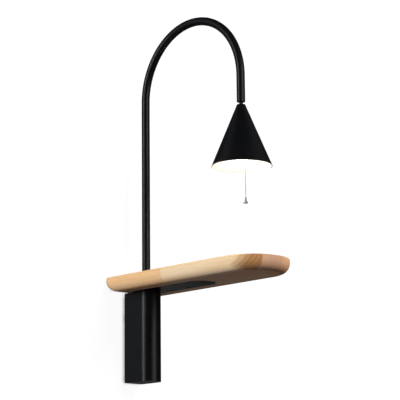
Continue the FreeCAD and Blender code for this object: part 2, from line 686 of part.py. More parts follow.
def make_shelf_board():
    body = new_body("shelf_board", z=BOARD_LEVEL)
    plan = outline(sketch_on(body, "XY", "board_plan"), board_outline())
    pad(body, plan, "board_blank", "board_thickness")
    dress(body, "Fillet", "board_lower_edge", "board_lower_round", lambda e: lies_at_level(e, 0))
    top = size("board_thickness")
    dress(body, "Fillet", "board_upper_edge", "board_upper_round", lambda e: lies_at_level(e, top))
    cut_board_recess(body)
    tube = sketch_on(body, "XY", "tube_hole_outline")
    circle(tube, "arm_diameter + 2 * hole_clearance", "0", "-arm_reach")
    pocket(body, tube, "tube_hole", reverse=True)
    pilots = sketch_on(body, "XY", "pilot_outline", "plate_thickness")
    for x, y in SHELF_SCREWS:
        circle(pilots, "shelf_screw_thread + 2 * seat_clearance", x, y)
    pocket(body, pilots, "pilot_holes", "shelf_screw_length - plate_thickness + pilot_gap", reverse=True)
    return keep(body)


def make_support_plate():
    body = new_body("support_plate", z=BOARD_LEVEL)
    plan = outline(sketch_on(body, "XY", "plate_plan"), plate_outline("0"))
    pad(body, plan, "plate_blank", "plate_thickness")
    nipple = sketch_on(body, "XY", "nipple_hole_outline")
    circle(nipple, "arm_diameter - 2 * arm_wall + 2 * hole_clearance", "0", "-arm_reach")
    pocket(body, nipple, "nipple_hole", reverse=True)
    hole = "(shelf_screw_thread + 2 * hole_clearance)"
    holes = sketch_on(body, "XY", "plate_screw_outline")
    for x, y in SHELF_SCREWS:
        circle(holes, hole, x, y)
    pocket(body, holes, "plate_screw_holes", reverse=True)
    dress(body, "Chamfer", "plate_countersinks", f"(shelf_screw_head - {hole}) / 2",
          lambda e: ring_at(e, 0, size(hole)))
    return keep(body)


def make_shelf_screws():
    screws = []
    for i, (x, y) in enumerate(SHELF_SCREWS):
        screws.append(countersunk_screw(f"shelf_screw_{i}", "shelf_screw_thread", "shelf_screw_head",
                                        "shelf_screw_length", x=x, y=y, z=BOARD_LEVEL))
    return compound("shelf_screws", screws)


# arm

def make_arm_tube():
    body = new_body("arm_tube", y="-arm_reach")
    section = sketch_on(body, "XY", "tube_section", PLATE_TOP)
    circle(section, "arm_diameter")
    circle(section, "arm_diameter - 2 * arm_wall")
    route = outline(sketch_on(body, "YZ", "tube_route"), [
        ("0", PLATE_TOP), ("0", ARCH_SPRING), ("-2 * arch_radius", ARCH_SPRING, "half", -1),
        ("-2 * arch_radius", TUBE_MOUTH)], closed=False)
    sweep(body, section, route, "tube_bent")
    return keep(body)


def sweep(body, section, route, name):
    document.recompute()
    pipe = body.newObject("PartDesign::AdditivePipe", name)
    pipe.Profile = section
    pipe.Spine = (route, [f"Edge{i}" for i in range(1, len(route.Shape.Edges) + 1)])
    return pipe


def make_arm_cable():
    body = new_body("arm_cable")
    start = "(terminal_top - terminal_height - end_gap)"
    section = sketch_on(body, "XY", "cable_section", start)
    circle(section, "cable_diameter", "0", "-terminal_bore_reach")
    route = outline(sketch_on(body, "YZ", "cable_route"), [
        ("-terminal_bore_reach", start), ("-terminal_bore_reach", f"{start} - cable_lead"),
        ("-arm_reach", f"{start} - cable_lead", "half", 1), ("-arm_reach", ARCH_SPRING),
        ("-" + SHADE_REACH, ARCH_SPRING, "half", -1),
        ("-" + SHADE_REACH, TUBE_MOUTH + " + cable_end_gap")], closed=False)
    sweep(body, section, route, "cable_laid")
    return keep(body)


def ring_profile(inner, outer, low, high):
    return [(inner, low), (outer, low), (outer, high), (inner, high)]


def make_arm_nipple():
    outer = "arm_diameter / 2 - arm_wall - seat_clearance"
    return keep(turned("arm_nipple", ring_profile("nipple_bore / 2", outer, "-nipple_below",
                                                  "plate_thickness + nipple_inside"),
                       y="-arm_reach", z=BOARD_LEVEL))


def make_arm_washer():
    inner = "arm_diameter / 2 - arm_wall + hole_clearance"
    return keep(turned("arm_washer", ring_profile(inner, "washer_diameter / 2", "-washer_thickness", "0"),
                       y="-arm_reach", z=BOARD_LEVEL + " - base_roof"))


def hex_nut(name, flats, bore, height, **where):
    body = new_body(name, **where)
    section = sketch_on(body, "XY", name + "_section")
    hexagon(section, flats)
    circle(section, bore)
    pad(body, section, name + "_pad", height)
    return body


def make_arm_nut():
    return keep(hex_nut("arm_nut", "arm_nut_flats", "arm_diameter - 2 * arm_wall", "arm_nut_height",
                        y="-arm_reach", z=BOARD_LEVEL + " - base_roof - washer_thickness - arm_nut_height"))


# swivel in the tube's mouth

def at_mouth():
    """Placement of what sits in the tube's mouth."""
    return dict(y="-" + SHADE_REACH, z=TUBE_MOUTH, turn="shade_turn")


def make_swivel_bush():
    inner = "stud_shank / 2 + running_clearance"
    outer = "arm_diameter / 2 - arm_wall - seat_clearance"
    body = turned("swivel_bush", ring_profile(inner, outer, "0", "bush_length"), **at_mouth())
    hole = circle(sketch_on(body, "XY", "stop_pin_hole_outline", "bush_length"),
                  "stop_pin_diameter + 2 * seat_clearance", "-stop_pin_radius")
    pocket(body, hole, "stop_pin_hole", "stop_pin_length - stop_pin_height")
    return keep(body)


def make_stop_pin():
    body = new_body("stop_pin", **at_mouth())
    section = sketch_on(body, "XY", "stop_pin_section", "bush_length + stop_pin_height")
    circle(section, "stop_pin_diameter", "-stop_pin_radius")
    pad(body, section, "stop_pin_pad", "stop_pin_length", reverse=True)
    return keep(body)


def make_swivel_stud():
    bore, shank, neck = "stud_bore / 2", "stud_shank / 2", "neck_diameter / 2"
    groove = "clip_groove / 2"
    low_groove = "bush_length + running_clearance"
    high_groove = "bush_length + 3 * running_clearance + clip_thickness"
    centre = "(-shade_gap - ball_depth)"
    ball = "(ball_diameter / 2)"
    collar_top = "-running_clearance"
    collar_low = "-running_clearance - stud_collar_height"
    return keep(turned("swivel_stud", [
        (bore, "bush_length + stud_top"), (shank, "bush_length + stud_top"), (shank, high_groove),
        (groove, high_groove), (groove, low_groove), (shank, low_groove), (shank, collar_top),
        ("stud_collar / 2", collar_top), ("stud_collar / 2", collar_low), (neck, collar_low),
        (neck, f"{centre} + sqrt({ball}^2 - ({neck})^2)"),
        (bore, f"{centre} - sqrt({ball}^2 - ({bore})^2)", ball, 1)], **at_mouth()))


def make_stud_clip():
    body = new_body("stud_clip", **at_mouth())
    level = "bush_length + 2 * running_clearance"
    ring = sketch_on(body, "XY", "clip_ring", level)
    circle(ring, "clip_diameter")
    circle(ring, "clip_groove + 2 * running_clearance")
    pad(body, ring, "clip_pad", "clip_thickness")
    tab = sketch_on(body, "XY", "clip_tab_outline", level)
    middle = "(clip_diameter + clip_groove) / 4"
    rectangle(tab, middle, "clip_tab_reach", "-clip_tab_width / 2", "clip_tab_width / 2")
    pad(body, tab, "clip_tab", "clip_thickness")
    return keep(body)


def wire_pair(name, low, high, **where):
    """Two straight wires side by side, as two bodies."""
    wires = []
    for side in (-1, 1):
        wire = new_body(f"{name}_{side + 1}", **where)
        section = sketch_on(wire, "XY", f"{name}_section_{side + 1}", low)
        circle(section, "core_diameter", f"{side} * core_spacing / 2")
        pad(wire, section, f"{name}_pad_{side + 1}", f"{high} - ({low})")
        wires.append(wire)
    return compound(name, wires)


def make_neck_wires():
    bottom = "(-shade_gap - ball_depth - sqrt((ball_diameter / 2)^2 - (stud_bore / 2)^2))"
    return wire_pair("neck_wires", bottom, "cable_end_gap - end_gap", **at_mouth())


# shade and its ball socket

SLOPE = "((shade_rim - shade_crown) / 2 / shade_height)"
SHEET = f"(shade_wall * sqrt(1 + {SLOPE}^2))"


def inside_radius(depth):
    """Inner radius of the shade at a depth below the crown."""
    return f"(shade_crown / 2 - {SHEET} + {SLOPE} * ({depth}))"


def make_shade():
    body = turned("shade", [
        ("shade_opening / 2", "0"), ("shade_crown / 2", "0"), ("shade_rim / 2", "-shade_height"),
        (inside_radius("shade_height"), "-shade_height"), (inside_radius("shade_wall"), "-shade_wall"),
        ("shade_opening / 2", "-shade_wall")], **in_shade())
    crown = size("shade_crown")
    dress(body, "Fillet", "shade_shoulder_round", "shade_shoulder", lambda e: ring_at(e, 0, crown))
    return keep(body)


BALL_SEAT = "(ball_diameter / 2 + running_clearance)"


def make_shade_socket():
    top = "(shade_wall + seat_clearance)"
    edge = "(socket_mouth / 2)"
    thread_top = "(clamp_top - clamp_thread_run)"
    thread = "clamp_thread / 2"
    return keep(turned("shade_socket", [
        ("socket_flare / 2", "-" + top), (inside_radius(top) + " - seat_clearance", "-" + top),
        (inside_radius("socket_depth") + " - seat_clearance", "-socket_depth"), (thread, "-socket_depth"),
        (thread, "-" + thread_top), (BALL_SEAT, "-" + thread_top), (BALL_SEAT, "-ball_depth"),
        (edge, f"-ball_depth + sqrt({BALL_SEAT}^2 - {edge}^2)", BALL_SEAT, -1)], **in_shade()))


def make_ball_clamp():
    outer = "(clamp_thread / 2 - seat_clearance)"
    stub = "(clamp_stub / 2 - seat_clearance)"
    bore = "(clamp_bore / 2)"
    mouth = f"sqrt({BALL_SEAT}^2 - (clamp_top - ball_depth)^2)"
    return keep(turned("ball_clamp", [
        (mouth, "-clamp_top", BALL_SEAT, -1), (outer, "-clamp_top"), (outer, "-" + CLAMP_SHOULDER),
        (stub, "-" + CLAMP_SHOULDER), (stub, "-clamp_bottom"), (bore, "-clamp_bottom"),
        (bore, f"-ball_depth - sqrt({BALL_SEAT}^2 - {bore}^2)")], **in_shade()))


def make_lock_nut():
    where = in_shade()
    where["z"] = CROWN + " - socket_depth - lock_nut_height"
    return keep(hex_nut("clamp_lock_nut", "lock_nut_flats", "clamp_thread", "lock_nut_height", **where))


# lamp and its holder

def make_holder_cap():
    outer = "holder_diameter / 2"
    top = "-" + CLAMP_SHOULDER
    roof = f"-{CLAMP_SHOULDER} - 2 * holder_cap_wall"
    low = f"-{CLAMP_SHOULDER} - holder_cap_height"
    inner = "holder_diameter / 2 - holder_cap_wall"
    return keep(turned("holder_cap", [
        ("clamp_stub / 2", top), (outer + " - holder_edge", top), (outer, top + " - holder_edge"),
        (outer, low), (inner, low),
        (inner, roof), ("clamp_stub / 2", roof)], **in_shade()))


def make_lamp_holder():
    top = f"-{CLAMP_SHOULDER} - holder_cap_height"
    low = f"{top} - holder_height"
    body = turned("lamp_holder", [
        ("0", top), ("holder_diameter / 2", top), ("holder_diameter / 2", f"{low} + holder_edge"),
        ("holder_diameter / 2 - holder_edge", low), ("0", low)], **in_shade())
    holes = sketch_on(body, "XY", "pin_holes_outline", low)
    for side in ("", "-"):
        circle(holes, "pin_diameter + 4 * hole_clearance", "0", side + "pin_spacing / 2")
    pocket(body, holes, "pin_holes", "pin_length + pin_hole_gap", reverse=True)
    return keep(body)


HOLDER_FACE = f"({CLAMP_SHOULDER} + holder_cap_height + holder_height)"
LAMP_BASE_FLOOR = f"({HOLDER_FACE} + lamp_base_height)"


def make_lamp_pins():
    pins = []
    for side in (-1, 1):
        pin = new_body(f"lamp_pin_{side + 1}", **in_shade())
        section = sketch_on(pin, "XY", f"lamp_pin_section_{side + 1}", "-" + HOLDER_FACE)
        circle(section, "pin_diameter", "0", f"{side} * pin_spacing / 2")
        pad(pin, section, f"lamp_pin_pad_{side + 1}", "pin_length")
        pins.append(pin)
    return compound("lamp_pins", pins)


def make_lamp_base():
    body = new_body("lamp_base", **in_shade())
    section = sketch_on(body, "XY", "lamp_base_section", "-" + HOLDER_FACE)
    half = "(lamp_base_depth / 2)"
    end = "(lamp_base_width / 2 - lamp_base_depth / 2)"
    outline(section, [(half, "-" + end, "half", -1), (half, end), ("-" + half, end, "half", -1),
                      ("-" + half, "-" + end)])
    pad(body, section, "lamp_base_block", "lamp_base_height - lamp_collar_height", reverse=True)
    collar = sketch_on(body, "XY", "lamp_collar_section", f"lamp_collar_height - {LAMP_BASE_FLOOR}")
    circle(collar, "lamp_collar_diameter")
    pad(body, collar, "lamp_collar", "lamp_collar_height", reverse=True)
    return keep(body)


def make_lamp_glass():
    top = f"-{LAMP_BASE_FLOOR}"
    outer = "(lamp_diameter / 2)"
    inner = "(lamp_diameter / 2 - lamp_glass_wall)"
    spring = f"-{LAMP_BASE_FLOOR} - lamp_glass_height + lamp_diameter / 2"
    return keep(turned("lamp_glass", [
        (inner, top), (outer, top), (outer, spring), ("0", f"{spring} - {outer}", outer, 1),
        ("0", f"{spring} - {inner}"), (inner, spring, inner, -1)], **in_shade()))


def make_light_strip():
    body = new_body("light_strip", **in_shade())
    section = sketch_on(body, "XY", "light_strip_section", "-" + LAMP_BASE_FLOOR)
    rectangle(section, "-light_strip_thickness / 2", "light_strip_thickness / 2",
              "-light_strip_width / 2", "light_strip_width / 2")
    pad(body, section, "light_strip_pad", "light_strip_height", reverse=True)
    return keep(body)


# pull switch

SWITCH_FLOOR = "(switch_top + switch_height)"
GUIDE_END = f"({SWITCH_FLOOR} + chain_guide_length)"
COUPLING_TOP = f"({GUIDE_END} + coupling_gap)"
CHAIN_TOP = f"({COUPLING_TOP} + coupling_height + end_gap)"


def at_switch(depth):
    """Placement of what lies on the pull switch's axis, with z = 0 at a depth below the crown."""
    return dict(x="switch_offset * cos(shade_turn)", y=f"-{SHADE_REACH} + switch_offset * sin(shade_turn)",
                z=f"{CROWN} - ({depth})", turn="shade_turn")


def make_switch_strap():
    body = new_body("switch_strap", **in_shade())
    under = "-" + CLAMP_SHOULDER
    ring = circle(sketch_on(body, "XY", "strap_ring_outline", under), "strap_ring")
    pad(body, ring, "strap_ring_pad", "strap_thickness")
    near = "(strap_bend - strap_thickness / 4)"
    far = "(switch_offset + switch_depth / 2)"
    side = outline(sketch_on(body, "XZ", "strap_side"), [
        ("clamp_thread / 2", under + " + strap_thickness"), ("clamp_thread / 2", under), (near, under),
        (far, "-switch_top"), (far, f"-{SWITCH_FLOOR} - strap_thickness"),
        (far + " + strap_thickness", f"-{SWITCH_FLOOR} - strap_thickness"),
        (far + " + strap_thickness", "-switch_top + strap_thickness"),
        ("strap_bend", under + " + strap_thickness")])
    pad(body, side, "strap_arm", "strap_width", middle=True)
    foot = sketch_on(body, "XY", "strap_foot_outline", "-" + SWITCH_FLOOR)
    half = "strap_foot_width / 2"
    rectangle(foot, "switch_offset - switch_depth / 2", far + " + strap_thickness", "-" + half, half)
    pad(body, foot, "strap_foot", "strap_thickness", reverse=True)
    hole = circle(sketch_on(body, "XY", "strap_hole_outline", under), "clamp_thread + 2 * seat_clearance")
    pocket(body, hole, "strap_hole", "strap_thickness", reverse=True)
    guide = sketch_on(body, "XY", "strap_guide_outline", "-" + SWITCH_FLOOR)
    circle(guide, "chain_guide_thread + 2 * seat_clearance", "switch_offset")
    pocket(body, guide, "strap_guide_hole", "strap_thickness")
    return keep(body)


def make_switch_body():
    body = new_body("switch_body", **at_switch(SWITCH_FLOOR))
    section = sketch_on(body, "XY", "switch_section")
    rectangle(section, "-switch_depth / 2", "switch_depth / 2", "-switch_width / 2", "switch_width / 2")
    pad(body, section, "switch_block", "switch_height")
    height = size("switch_height")
    dress(body, "Fillet", "switch_corners", "switch_corner", lambda e: abs(e.Length - height) < 1e-4)
    chamber = circle(sketch_on(body, "XY", "switch_chamber_outline"), "switch_chamber")
    pocket(body, chamber, "switch_chamber_bore", "switch_chamber_depth", reverse=True)
    return keep(body)


def make_chain_guide():
    return keep(turned("chain_guide", ring_profile("plunger_diameter / 2 + running_clearance",
                                                   "chain_guide_thread / 2", "-chain_guide_length", "0"),
                       **at_switch(SWITCH_FLOOR)))


def make_guide_nut():
    bore = "chain_guide_thread + 2 * seat_clearance"
    where = at_switch(f"{SWITCH_FLOOR} + strap_thickness + guide_nut_height")
    return keep(hex_nut("guide_nut", "guide_nut_flats", bore, "guide_nut_height", **where))


def make_plunger():
    """Rod with a head in the switch's chamber and a coupling for the chain, at rest."""
    rod, head, coupling = "plunger_diameter / 2", "plunger_head / 2", "coupling_diameter / 2"
    head_low = "(plunger_travel + plunger_stop)"
    head_top = "(plunger_travel + plunger_stop + plunger_head_height)"
    top = "-chain_guide_length - coupling_gap"
    low = "-chain_guide_length - coupling_gap - coupling_height"
    return keep(turned("switch_plunger", [
        ("0", head_top), (head, head_top), (head, head_low), (rod, head_low), (rod, top),
        (coupling, f"{top} - coupling_taper"), (coupling, f"{low} + coupling_taper"),
        ("chain_diameter / 2", low), ("0", low)], **at_switch(SWITCH_FLOOR)))


def make_pull_chain():
    """Plain rod as thick as the beads, with a round upper end that swings under the coupling."""
    radius = "chain_diameter / 2"
    return keep(turned("pull_chain", [
        ("0", "-chain_length"), (radius, "-chain_length"), (radius, "-" + radius), ("0", "0", radius, -1)],
        **at_switch(CHAIN_TOP)))


def make_chain_bell():
    neck, waist, mouth = "bell_neck / 2", "bell_waist / 2", "bell_diameter / 2"
    return keep(turned("chain_bell", [
        ("0", "0"), (neck, "0"), (neck, "-bell_neck_height"), (waist, "bell_flare - bell_height"),
        (mouth, "bell_band - bell_height"), (mouth, "-bell_height"),
        (mouth + " - bell_wall", "-bell_height"), ("0", "bell_hollow - bell_height")],
        **at_switch(f"{CHAIN_TOP} + chain_length")))


def make_shade_wires():
    return wire_pair("shade_wires", f"-({CLAMP_SHOULDER} + holder_cap_height - end_gap)",
                     "-(ball_depth + ball_diameter / 2 + end_gap)", **in_shade())


def make_switch_leads():
    """Two wires from the side of the holder's cap down to the top of the switch."""
    leads = []
    start = f"(-{CLAMP_SHOULDER} - holder_cap_height + core_diameter * 2)"
    offset = "(strap_width / 2 + core_diameter / 2 + end_gap)"
    surface = f"(sqrt((holder_diameter / 2)^2 - ({offset} - core_diameter / 2)^2) + seat_clearance)"
    inside = "(switch_offset - switch_depth / 2 + core_diameter)"
    for side in (-1, 1):
        lead = new_body(f"switch_lead_{side + 1}", **in_shade())
        section = sketch_on(lead, "YZ", f"switch_lead_section_{side + 1}", surface)
        circle(section, "core_diameter", f"{-side} * {offset}", start)
        route = outline(sketch_on(lead, "XZ", f"switch_lead_route_{side + 1}", f"{side} * {offset}"), [
            (surface, start), (inside + " - lead_bend", start),
            (inside, start + " - lead_bend", "lead_bend", 1), (inside, "-switch_top")], closed=False)
        sweep(lead, section, route, f"switch_lead_laid_{side + 1}")
        leads.append(lead)
    return compound("switch_leads", leads)


def check_and_export():
    document.recompute()
    faults = [f"{item.Name}: {item.State}" for item in document.Objects
              if {"Invalid", "Error"} & set(item.State)]
    for node in nodes:
        shape = node.Shape
        if shape.isNull() or not shape.isValid() or shape.Volume <= 0:
            faults.append(f"{node.Label}: bad shape")
    if faults:
        raise RuntimeError("\n".join(faults))
    os.makedirs("parts", exist_ok=True)
    for node in nodes:
        node.Shape.exportStep(f"parts/{node.Label}.step")
        print(f"{node.Label}: {len(node.Shape.Solids)} solid(s), {node.Shape.Volume:.1f} mm3")


fill_sheet()
for make in (
        make_wall_bracket, make_entry_grommet, make_base_housing, make_hanger_bar, make_base_cap,
        make_cap_screw, make_terminal_block, make_terminal_screws, make_terminal_fixings,
        make_earth_screw, make_earth_washer, make_shelf_board, make_support_plate, make_shelf_screws,
        make_arm_tube, make_arm_cable, make_arm_nipple, make_arm_washer, make_arm_nut, make_swivel_bush,
        make_stop_pin, make_swivel_stud, make_stud_clip, make_neck_wires, make_shade, make_shade_socket,
        make_ball_clamp, make_lock_nut, make_holder_cap, make_lamp_holder, make_lamp_pins, make_lamp_base,
        make_lamp_glass, make_light_strip, make_switch_strap, make_switch_body, make_chain_guide,
        make_guide_nut, make_plunger, make_shade_wires, make_switch_leads, make_pull_chain,
        make_chain_bell):
    make()
check_and_export()
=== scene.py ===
import json
import math
import bmesh
import bpy
from mathutils import Matrix, Vector


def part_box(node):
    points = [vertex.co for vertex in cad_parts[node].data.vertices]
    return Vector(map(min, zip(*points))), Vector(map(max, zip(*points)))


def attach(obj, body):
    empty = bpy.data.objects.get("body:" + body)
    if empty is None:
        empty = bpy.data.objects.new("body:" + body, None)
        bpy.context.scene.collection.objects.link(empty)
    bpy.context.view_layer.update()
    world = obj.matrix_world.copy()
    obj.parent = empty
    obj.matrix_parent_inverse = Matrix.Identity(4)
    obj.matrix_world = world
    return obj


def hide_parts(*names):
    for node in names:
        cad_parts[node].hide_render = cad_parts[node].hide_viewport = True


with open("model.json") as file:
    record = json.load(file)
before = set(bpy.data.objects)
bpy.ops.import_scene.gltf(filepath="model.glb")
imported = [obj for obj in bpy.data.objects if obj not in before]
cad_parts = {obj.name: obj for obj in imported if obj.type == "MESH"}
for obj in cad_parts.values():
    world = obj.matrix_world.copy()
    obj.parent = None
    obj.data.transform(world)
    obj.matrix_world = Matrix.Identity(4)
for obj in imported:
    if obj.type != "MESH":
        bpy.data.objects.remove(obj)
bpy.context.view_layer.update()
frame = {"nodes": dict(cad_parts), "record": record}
mm = 0.001
print("frame loaded:", len(frame["nodes"]), "nodes")


# camera, as the photograph was taken: from the left, below the shelf and looking up
cameraSetup = {
    "place": (-1.6132, -1.8447, -0.3011),
    "turn": -43.555,   # degrees about the vertical
    "tilt": 11.705,    # up from level
    "roll": -0.562,
    "lens": 151.95,    # mm
    "sensor": 36,      # mm
}


def makeCamera(setup):
    data = bpy.data.cameras.new("photoCamera")
    data.lens = setup["lens"]
    data.sensor_width = setup["sensor"]
    camera = bpy.data.objects.new("photoCamera", data)
    bpy.context.collection.objects.link(camera)
    turn = Matrix.Rotation(math.radians(setup["turn"]), 4, "Z")
    tilt = Matrix.Rotation(math.radians(90 + setup["tilt"]), 4, "X")
    roll = Matrix.Rotation(math.radians(setup["roll"]), 4, "Z")
    camera.matrix_world = Matrix.Translation(setup["place"]) @ turn @ tilt @ roll
    bpy.context.scene.camera = camera


makeCamera(cameraSetup)


# shader building: Value wraps a socket and does arithmetic, Paint makes the nodes of one material
class Value:
    def __init__(self, paint, socket):
        self.paint = paint
        self.socket = socket

    def maths(self, operation, *others):
        return self.paint.node("ShaderNodeMath", {"operation": operation}, [self, *others])

    def __add__(self, other):
        return self.maths("ADD", other)

    def __sub__(self, other):
        return self.maths("SUBTRACT", other)

    def __rsub__(self, other):
        return self.paint.node("ShaderNodeMath", {"operation": "SUBTRACT"}, [other, self])

    def __mul__(self, other):
        return self.maths("MULTIPLY", other)

    def __truediv__(self, other):
        return self.maths("DIVIDE", other)

    __radd__ = __add__
    __rmul__ = __mul__


class Paint:
    def __init__(self, name, family=bpy.data.materials):
        self.made = family.new(name)
        self.made.use_nodes = True
        self.tree = self.made.node_tree
        self.tree.nodes.clear()

    def node(self, kind, settings=None, inputs=(), output=0):
        made = self.tree.nodes.new(kind)
        for name, value in (settings or {}).items():
            if name == "stops":
                self.fillRamp(made.color_ramp, value)
            elif name == "constant":
                made.color_ramp.interpolation = "CONSTANT"
            else:
                setattr(made, name, value)
        for key, value in inputs.items() if isinstance(inputs, dict) else enumerate(inputs):
            if isinstance(value, Value):
                self.tree.links.new(value.socket, made.inputs[key])
            else:
                made.inputs[key].default_value = value
        return Value(self, made.outputs[output]) if len(made.outputs) else None

    def fillRamp(self, ramp, stops):
        while len(ramp.elements) < len(stops):
            ramp.elements.new(0.5)
        for element, (place, colour) in zip(ramp.elements, stops):
            element.position = place
            element.color = colour

    def place(self):
        return self.node("ShaderNodeTexCoord", output="Object")

    def stretched(self, place, scale):
        return self.node("ShaderNodeVectorMath", {"operation": "MULTIPLY"}, [place, scale])

    def shifted(self, place, offset):
        return self.node("ShaderNodeVectorMath", {"operation": "ADD"}, [place, offset])

    def split(self, vector):
        return [self.node("ShaderNodeSeparateXYZ", None, [vector], axis) for axis in "XYZ"]

    def join(self, x, y, z):
        return self.node("ShaderNodeCombineXYZ", None, [x, y, z])

    def noise(self, place, scale, detail=2.0, roughness=0.5):
        inputs = {"Vector": place, "Scale": scale, "Detail": detail, "Roughness": roughness}
        return self.node("ShaderNodeTexNoise", None, inputs)

    def remap(self, value, low, high):
        # 0 at low, 1 at high and clamped beyond them
        return self.node("ShaderNodeMapRange", None, [value, low, high])

    def mix(self, first, second, factor, blend="MIX"):
        settings = {"data_type": "RGBA", "blend_type": blend}
        return self.node("ShaderNodeMix", settings, {0: factor, 6: first, 7: second}, 2)

    def bump(self, height, strength, distance):
        inputs = {"Height": height, "Strength": strength, "Distance": distance}
        return self.node("ShaderNodeBump", None, inputs)

    def finish(self, inputs):
        shader = self.node("ShaderNodeBsdfPrincipled", None, inputs)
        self.node("ShaderNodeOutputMaterial", None, [shader])
        return self.made


# finishes; noise scales are per metre and relief is in metres
blackPaint = {
    "colour": (0.0009, 0.0010, 0.0013, 1),
    "lighter": (0.0019, 0.0020, 0.0025, 1),
    "roughness": 0.30,
    "patches": 45,
    "pebble": 900,     # the fine orange peel of powder coat
    "patchRough": 0.07,
    "pebbleRough": 0.05,
    "relief": 0.00012,
    "reliefStrength": 0.05,
}


def makeBlackPaint(look):
    paint = Paint("blackPaint")
    place = paint.place()
    patches = paint.noise(place, look["patches"], 3)
    grain = paint.noise(place, look["pebble"], 2)
    return paint.finish({
        "Base Color": paint.mix(look["colour"], look["lighter"], patches),
        "Roughness": look["roughness"] + look["patchRough"] * patches + look["pebbleRough"] * grain,
        "Normal": paint.bump(grain, look["reliefStrength"], look["relief"]),
    })


tan = (0.76, 0.50, 0.285, 1)
cream = (0.78, 0.60, 0.395, 1)
honey = (0.74, 0.53, 0.33, 1)
paleWood = {
    # rows from the left, each with its staves' starts and colours; 0 is the wall and 1 the board's end
    "staves": [
        [(0.0, tan), (0.403, cream), (0.995, tan)],
        [(0.0, cream), (0.31, honey), (0.72, tan)],
        [(0.0, honey), (0.52, cream), (0.88, tan)],
        [(0.0, tan), (0.2, cream), (0.66, honey)],
    ],
    "ends": [
        (0.36, 0.185, 0.072, 1),
        (0.50, 0.29, 0.175, 1),
        (0.55, 0.31, 0.165, 1),
        (0.50, 0.31, 0.17, 1),
    ],
    "staveWidth": 32 * mm,
    "firstStave": -57 * mm,            # the left side of the first row
    "length": 300 * mm,
    "middle": 75 * mm,                 # the board's middle above the origin
    "warmer": (0.97, 0.91, 0.80, 1),
    "late": (0.15, 0.068, 0.022, 1),   # dark late wood of the growth rings
    "ringWidth": 5 * mm,
    "ringRise": 0.25,                  # where in a ring the late wood starts to darken
    "ringDrop": 0.93,                  # and where it ends
    "pith": (58 * mm, -24 * mm),       # the heart of each log, across and up from the stave
    "taper": 0.02,                     # the log leans this much along the board
    "logSpread": 10 * mm,
    "warp": 10 * mm,
    "endFrom": 0.22,                   # how far a surface faces along the grain
    "endTo": 0.63,
    "endLean": 10,                     # per metre of height, as the end shows more on the lower round
    "firstRowRings": 0.40,             # ring contrast on the end grain of the first row
    "endRings": 0.04,
    "sideRings": 0.07,
    "fibreDepth": 0.10,
    "fleckDepth": 0.06,
    "streakDepth": 0.45,
    "poreDepth": 0.08,
    "warpScale": (24, 5, 24),
    "driftScale": (70, 8, 130),
    "fibreScale": (1100, 26, 1100),
    "streakScale": (330, 11, 330),
    "poreScale": (2600, 90, 2600),
    "fleckScale": (420, 55, 420),
    "driftRange": (0.36, 0.64),        # where the noise starts to show and shows in full
    "poreRange": (0.58, 0.72),
    "fleckRange": (0.60, 0.78),
    "gloss": 0.3,
    "roughness": 0.5,
    "relief": 0.0002,
    "reliefStrength": 0.25,
}


